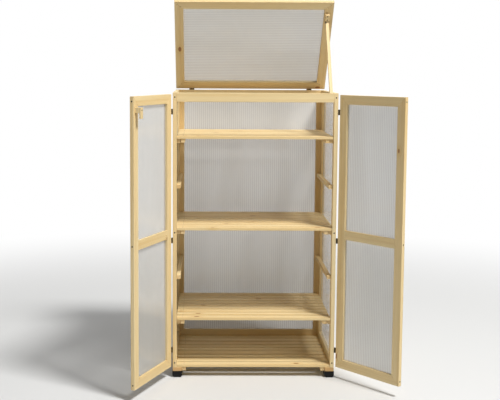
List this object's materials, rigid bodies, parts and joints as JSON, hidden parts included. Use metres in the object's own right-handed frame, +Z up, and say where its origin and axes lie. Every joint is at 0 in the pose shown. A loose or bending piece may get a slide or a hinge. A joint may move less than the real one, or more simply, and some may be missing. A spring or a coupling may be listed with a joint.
{
  "type": "wooden mini greenhouse",
  "caption": "Free-standing wooden cold-frame cabinet with twin-wall panes, slatted shelves on ledgers, a pair of glazed doors and a glazed lid held open by a hinged prop.",
  "frame": {"origin": "on the floor, under the middle of the bounding box with the doors and the lid open as displayed", "axes": "+Z up, +X to the right of someone who faces the doors, +Y towards the back"},
  "size_m": [1.1938, 0.9088, 1.7746],
  "materials": {
    "pine": "planed, unvarnished pine with knots",
    "twin_wall": "milky twin-wall polycarbonate with upright ribs",
    "foot_plastic": "black, satin",
    "dark_steel": "bronzed steel, satin"
  },
  "bodies": {
    "cabinet": {"left_side_frame": "pine", "right_side_frame": "pine", "left_side_pane": "twin_wall", "right_side_pane": "twin_wall", "left_ledger_1": "pine", "left_ledger_2": "pine", "left_ledger_3": "pine", "left_ledger_4": "pine", "left_ledger_5": "pine", "right_ledger_1": "pine", "right_ledger_2": "pine", "right_ledger_3": "pine", "right_ledger_4": "pine", "right_ledger_5": "pine", "left_base_rail": "pine", "right_base_rail": "pine", "front_left_foot": "foot_plastic", "front_right_foot": "foot_plastic", "back_left_foot": "foot_plastic", "back_right_foot": "foot_plastic", "back_bottom_rail": "pine", "back_left_stile": "pine", "back_top_rail": "pine", "back_right_stile": "pine", "back_middle_rail": "pine", "back_pane": "twin_wall", "front_top_rail": "pine", "bottom_shelf": "pine", "lower_shelf": "pine", "middle_shelf": "pine", "top_shelf": "pine", "left_door_hinge_bottom": "dark_steel", "left_door_hinge_middle": "dark_steel", "left_door_hinge_top": "dark_steel", "right_door_hinge_bottom": "dark_steel", "right_door_hinge_middle": "dark_steel", "right_door_hinge_top": "dark_steel", "lid_hinge_left": "dark_steel", "lid_hinge_right": "dark_steel"},
    "left_door": {"left_door_bottom_rail": "pine", "left_door_meeting_stile": "pine", "left_door_top_rail": "pine", "left_door_hinge_stile": "pine", "left_door_middle_rail": "pine", "left_door_pane": "twin_wall"},
    "latch": {"door_latch": "pine"},
    "right_door": {"right_door_bottom_rail": "pine", "right_door_meeting_stile": "pine", "right_door_top_rail": "pine", "right_door_hinge_stile": "pine", "right_door_middle_rail": "pine", "right_door_pane": "twin_wall"},
    "lid": {"lid_front_rail": "pine", "lid_right_stile": "pine", "lid_back_rail": "pine", "lid_left_stile": "pine", "lid_pane": "twin_wall", "lid_stay_block": "pine", "lid_stay_bracket": "dark_steel"},
    "prop": {"lid_stay": "pine"}
  },
  "joints": [
    {"name": "left_door_swing", "type": "hinge", "parent": "cabinet", "child": "left_door", "pos_m": [-0.42946, -0.10179, 0.69], "axis": [0, 0, -1], "range_deg": [-113, 67]},
    {"name": "right_door_swing", "type": "hinge", "parent": "cabinet", "child": "right_door", "pos_m": [0.33754, -0.10179, 0.69], "axis": [0, 0, 1], "range_deg": [-129.7, 50.3]},
    {"name": "latch_turn", "type": "hinge", "parent": "left_door", "child": "latch", "pos_m": [-0.572, -0.43374, 1.274], "axis": [0.9205, -0.3907, 0], "range_deg": [0, 180]},
    {"name": "lid_lift", "type": "hinge", "parent": "cabinet", "child": "lid", "pos_m": [-0.04596, 0.44151, 1.3418], "axis": [-1, 0, 0], "range_deg": [-50.9, 0]},
    {"name": "prop_fold", "type": "hinge", "parent": "lid", "child": "prop", "pos_m": [0.30664, 0.16107, 1.6734], "axis": [-1, 0, 0], "range_deg": [-71, 0]}
  ],
  "couplings": [
    {"joint": "prop_fold", "follows": "lid_lift", "ratio": 1.3876}
  ]
}
